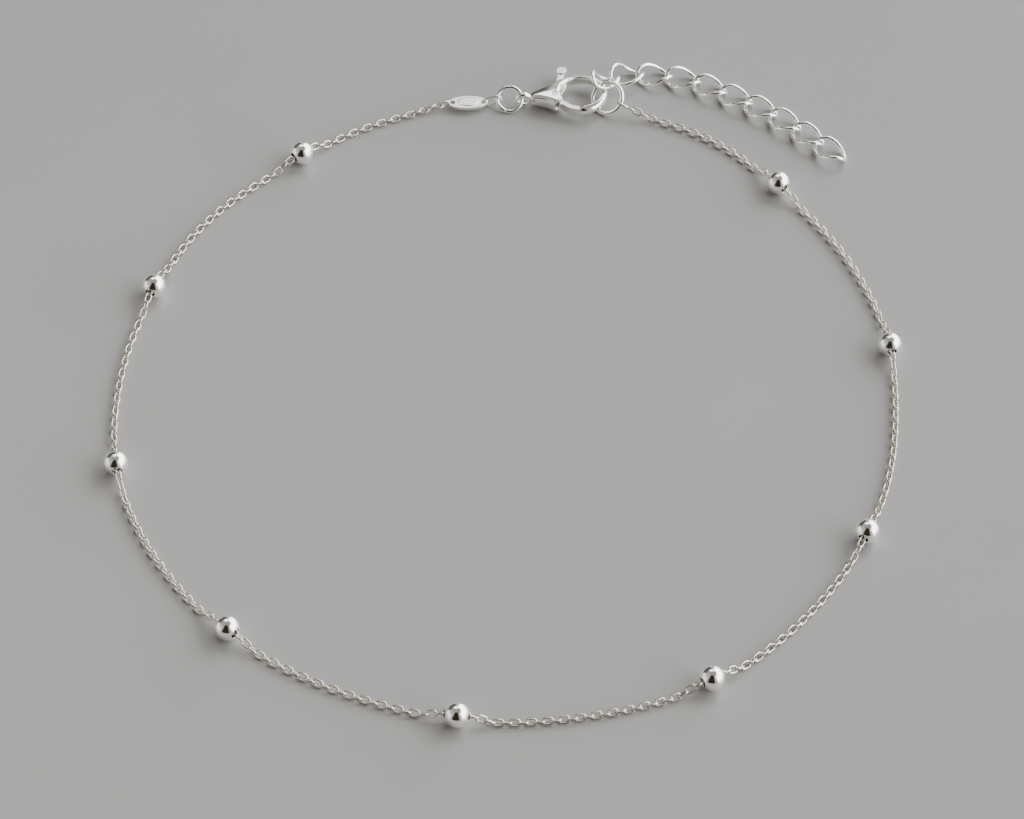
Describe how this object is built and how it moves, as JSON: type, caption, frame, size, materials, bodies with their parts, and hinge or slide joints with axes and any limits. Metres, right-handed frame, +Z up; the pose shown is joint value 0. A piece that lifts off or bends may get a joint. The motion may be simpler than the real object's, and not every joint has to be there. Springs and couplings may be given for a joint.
{
  "type": "station-bead chain anklet with lobster clasp and extender tail",
  "caption": "Fine trace-chain anklet with round station beads, an oval tag, a lobster clasp hooked into a jump ring and a curb-link extender tail, lying open in a loop.",
  "frame": {"origin": "middle of the laid loop's bounding box, on the surface it lies on", "axes": "+Z up from the surface, +Y towards the clasp's side of the loop, +X towards the extender tail's side"},
  "size_m": [0.0824, 0.0925, 0.0035],
  "materials": {
    "polished_silver": "mirror polished silver",
    "soft_silver": "polished silver, slightly softer"
  },
  "bodies": {
    "anklet": {"bead_1": "polished_silver", "bead_2": "polished_silver", "bead_3": "polished_silver", "bead_4": "polished_silver", "bead_5": "polished_silver", "bead_6": "polished_silver", "bead_7": "polished_silver", "bead_8": "polished_silver", "bead_9": "polished_silver", "trace_chain": "polished_silver", "tag": "soft_silver", "tag_link": "polished_silver", "clasp_ring": "polished_silver", "clasp_body": "polished_silver", "clasp_pin": "soft_silver", "end_ring": "polished_silver", "extender_link_1": "polished_silver", "extender_link_2": "polished_silver", "extender_link_3": "polished_silver", "extender_link_4": "polished_silver", "extender_link_5": "polished_silver", "extender_link_6": "polished_silver", "extender_link_7": "polished_silver", "extender_link_8": "polished_silver", "extender_link_9": "polished_silver", "extender_link_10": "polished_silver"},
    "lever": {"clasp_lever": "soft_silver"}
  },
  "joints": [
    {"name": "clasp_lever_hinge", "type": "hinge", "parent": "anklet", "child": "lever", "pos_m": [0.00515, 0.04051, 0.00111], "axis": [-0.0313, -0.0024, 0.9995], "range_deg": [0, 20], "stiffness_Nm_per_rad": 0.005}
  ]
}
